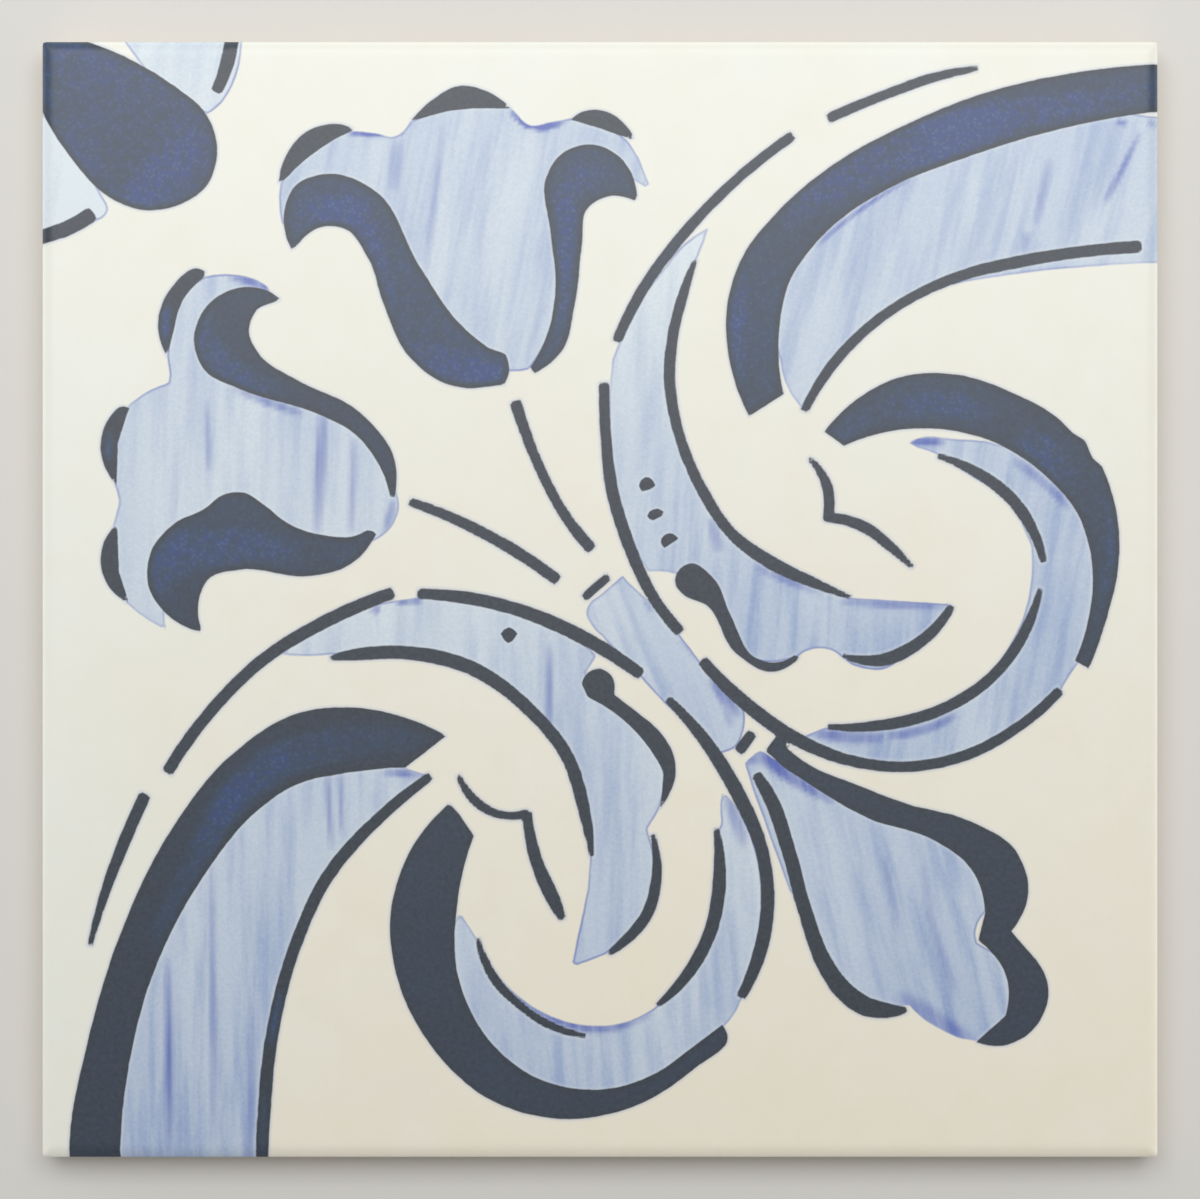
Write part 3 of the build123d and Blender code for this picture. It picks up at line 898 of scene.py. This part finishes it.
# %% Rims and pools
rim = add_node(
    tree, "MapRange",
    {"interpolation_type": "SMOOTHSTEP", "From Min": 0.1, "From Max": 0.55, "To Min": 1.0, "To Max": 0.0},
    {"Value": depths["wash"]})
rim_patchy = add_node(
    tree, "MapRange", {"From Min": 0.35, "From Max": 0.65, "To Min": 0.25, "To Max": 0.8},
    {"Value": cloud})
rim_load = add_node(tree, "Math", {"operation": "MULTIPLY"}, {0: rim, 1: rim_patchy})
pool_attribute = add_node(tree, "Attribute", {"attribute_name": "pooled"}, {}, "Fac")
pool_grain = add_node(
    tree, "MapRange", {"From Min": 0.3, "From Max": 0.7, "To Min": 0.6, "To Max": 1.3},
    {"Value": streaks["streak"]})
pool_load = add_node(tree, "Math", {"operation": "MULTIPLY"}, {0: pool_attribute, 1: pool_grain})
strongest = add_node(
    tree, "Math", {"operation": "MAXIMUM", "use_clamp": True}, {0: rim_load, 1: pool_load})
seam = add_node(
    tree, "MapRange",
    {"interpolation_type": "SMOOTHSTEP", "From Min": -0.7, "From Max": -0.1, "To Max": 0.3},
    {"Value": depths["ink"]})
seamed = add_node(tree, "Mix", {"data_type": "RGBA", 7: linear("#DDE4E8")}, {0: seam, 6: watery}, 2)
rimmed = add_node(
    tree, "Mix", {"data_type": "RGBA", 7: linear("#5F70BB")}, {0: strongest, 6: seamed}, 2)
washed = add_node(tree, "Mix", {"data_type": "RGBA"}, {0: wash_mask, 6: tinted, 7: rimmed}, 2)
print("wash:", len(tree.nodes), "nodes so far")

# %% [markdown]
# ## The mottled ink
# The ink is cobalt darkened with manganese. Thin lines fire to a dark slate. In broad marks it fires to
# a lighter grey with fine pale specks, and where the cobalt lies thickest it breaks through as a violet
# blue, but never at the very edge, where the colour is darkest. So the blue load drives two mixes, one
# after the other.

# %% Ink colour
LOAD_ZONE = 16 * MM
COBALT_MOTTLE = 1.4 * MM
# Crystals and grains in the ink are finer than 0.2 mm; both are drawn coarser, or they would not show
INK_GRAIN = 0.8 * MM
PALE_SPECK = 0.8 * MM

zone = add_node(tree, "TexNoise", {"Scale": 1 / LOAD_ZONE, "Detail": 2.0}, {"Vector": place})
blotch = add_node(tree, "TexNoise", {"Scale": 1 / COBALT_MOTTLE, "Detail": 3.0}, {"Vector": place})
ink_grain = add_node(tree, "TexNoise", {"Scale": 1 / INK_GRAIN, "Detail": 2.0}, {"Vector": place})
speck = add_node(tree, "TexVoronoi", {"Scale": 1 / PALE_SPECK}, {"Vector": place}, "Distance")
zone_blue = add_node(
    tree, "MapRange", {"From Min": 0.35, "From Max": 0.65, "To Min": 0.6, "To Max": 1.0},
    {"Value": zone})
blotch_blue = add_node(
    tree, "MapRange", {"From Min": 0.35, "From Max": 0.65, "To Min": -0.25, "To Max": 0.25},
    {"Value": blotch})
mottle = add_node(tree, "Math", {"operation": "ADD"}, {0: zone_blue, 1: blotch_blue})
cobalt_attribute = add_node(tree, "Attribute", {"attribute_name": "cobalt"}, {}, "Fac")
inside = add_node(
    tree, "MapRange", {"interpolation_type": "SMOOTHSTEP", "From Min": 0.15, "From Max": 1.4},
    {"Value": depths["ink"]})
mottle_inside = add_node(tree, "Math", {"operation": "MULTIPLY"}, {0: mottle, 1: inside})
blue_load = add_node(tree, "Math", {"operation": "MULTIPLY"}, {0: mottle_inside, 1: cobalt_attribute})
slate = add_node(
    tree, "Mix", {"data_type": "RGBA", 6: linear("#232B35"), 7: linear("#444C57")}, {0: ink_grain}, 2)
grey_share = add_node(tree, "MapRange", {"From Max": 0.5}, {"Value": blue_load})
blue_share = add_node(tree, "MapRange", {"From Min": 0.5, "From Max": 1.1}, {"Value": blue_load})
greyed = add_node(
    tree, "Mix", {"data_type": "RGBA", 7: linear("#344660")}, {0: grey_share, 6: slate}, 2)
blued = add_node(
    tree, "Mix", {"data_type": "RGBA", 7: linear("#33487E")}, {0: blue_share, 6: greyed}, 2)
speck_pale = add_node(
    tree, "MapRange", {"From Min": 0.1, "From Max": 0.5, "To Min": 0.22, "To Max": 0.0},
    {"Value": speck})
pale_specks = add_node(tree, "Math", {"operation": "MULTIPLY"}, {0: speck_pale, 1: blue_load})
inked = add_node(
    tree, "Mix", {"data_type": "RGBA", 7: linear("#74869C")}, {0: pale_specks, 6: blued}, 2)
face_colour = add_node(tree, "Mix", {"data_type": "RGBA"}, {0: ink_mask, 6: washed, 7: inked}, 2)
print("ink:", len(tree.nodes), "nodes so far")

# %% [markdown]
# ## The skin of glass
# Paint and ground lie under one satin skin. Its roughness is a little higher in the ink, which
# crystallised, and a faint orange peel, the mark of sprayed slip, breaks up the reflections.

# %% Glaze shader
ORANGE_PEEL = 1.8 * MM
peel = add_node(tree, "TexNoise", {"Scale": 1 / ORANGE_PEEL, "Detail": 1.0}, {"Vector": place})
peel_bump = add_node(tree, "Bump", {"Strength": 0.25, "Distance": 0.02 * MM}, {"Height": peel})
satin = add_node(tree, "MapRange", {"To Min": 0.36, "To Max": 0.38}, {"Value": ink_mask})
shader = add_node(
    tree, "BsdfPrincipled", {"IOR": 1.6},
    {"Base Color": face_colour, "Roughness": satin, "Normal": peel_bump})
add_node(tree, "OutputMaterial", {"target": "ALL"}, {"Surface": shader})
coat_mesh.materials.append(painted)
print("painted glaze:", len(tree.nodes), "nodes")

# %% [markdown]
# ## Floor, light and camera
# The tile lies on a plain pale card. A large softbox hangs beyond the tile's upper edge, as over a copy
# stand. Its reflection lies as a faint haze over the upper part of the satin face and fades downwards.
# Three low strips, left, right and beyond, brighten the cushion edges on their sides, and the white
# room fills the rest. The camera looks straight down, far enough away to keep the square square.

# %% Backdrop
FLOOR_HALF = 1.5
floor_mesh = bpy.data.meshes.new("backdrop")
corner_x, corner_y = np.meshgrid([-FLOOR_HALF, FLOOR_HALF], [-FLOOR_HALF, FLOOR_HALF])
floor_points = np.column_stack([corner_x.ravel(), corner_y.ravel(), np.zeros(4)])
floor_mesh.from_pydata(floor_points.tolist(), [], [(0, 1, 3, 2)])
backdrop = bpy.data.objects.new("backdrop", floor_mesh)
bpy.context.collection.objects.link(backdrop)
paper, tree = new_material("matt_pale_card")
shader = add_node(tree, "BsdfPrincipled", {"Base Color": linear("#DEDCD7"), "Roughness": 0.95}, {})
add_node(tree, "OutputMaterial", {"target": "ALL"}, {"Surface": shader})
floor_mesh.materials.append(paper)
print("backdrop:", 2 * FLOOR_HALF, "m square")

# %% Lamps and room light
# Place in metres, level length, width and watts of each lamp
LAMPS = {"softbox": ((0, 0.34, 0.80), 1.0, 0.5, 4.7),
         "left_strip": ((-0.45, 0.1, 0.09), 0.5, 0.1, 0.45),
         "right_strip": ((0.45, 0, 0.09), 0.5, 0.1, 0.45),
         "far_strip": ((0, 0.45, 0.12), 0.5, 0.1, 0.35)}
ROOM_LIGHT = 0.34
for name, (spot, length, width, power) in LAMPS.items():
    light = bpy.data.lights.new(name, "AREA")
    light.shape = "RECTANGLE"
    light.size = length
    light.size_y = width
    light.energy = power
    lamp = bpy.data.objects.new(name, light)
    lamp.location = spot
    lamp.rotation_euler = lamp.location.to_track_quat("Z", "Y").to_euler()
    bpy.context.collection.objects.link(lamp)
room = bpy.data.worlds.new("white_room")
room.use_nodes = True
room.node_tree.nodes["Background"].inputs["Color"].default_value = linear("#FFFFFF")
room.node_tree.nodes["Background"].inputs["Strength"].default_value = ROOM_LIGHT
bpy.context.scene.world = room
bpy.context.scene.view_settings.view_transform = "Standard"
print("lamps:", list(LAMPS))

# %% Camera
LENS = 85.0
SENSOR = 36.0
FILL = 0.93
camera_data = bpy.data.cameras.new("camera")
camera_data.lens = LENS
camera_data.sensor_width = SENSOR
camera = bpy.data.objects.new("camera", camera_data)
distance = 2 * half_side * MM / FILL * LENS / SENSOR
camera.location = (0, 0, face_height * MM + distance)
bpy.context.collection.objects.link(camera)
bpy.context.scene.camera = camera
print(f"camera: {distance:.3f} m above the face")
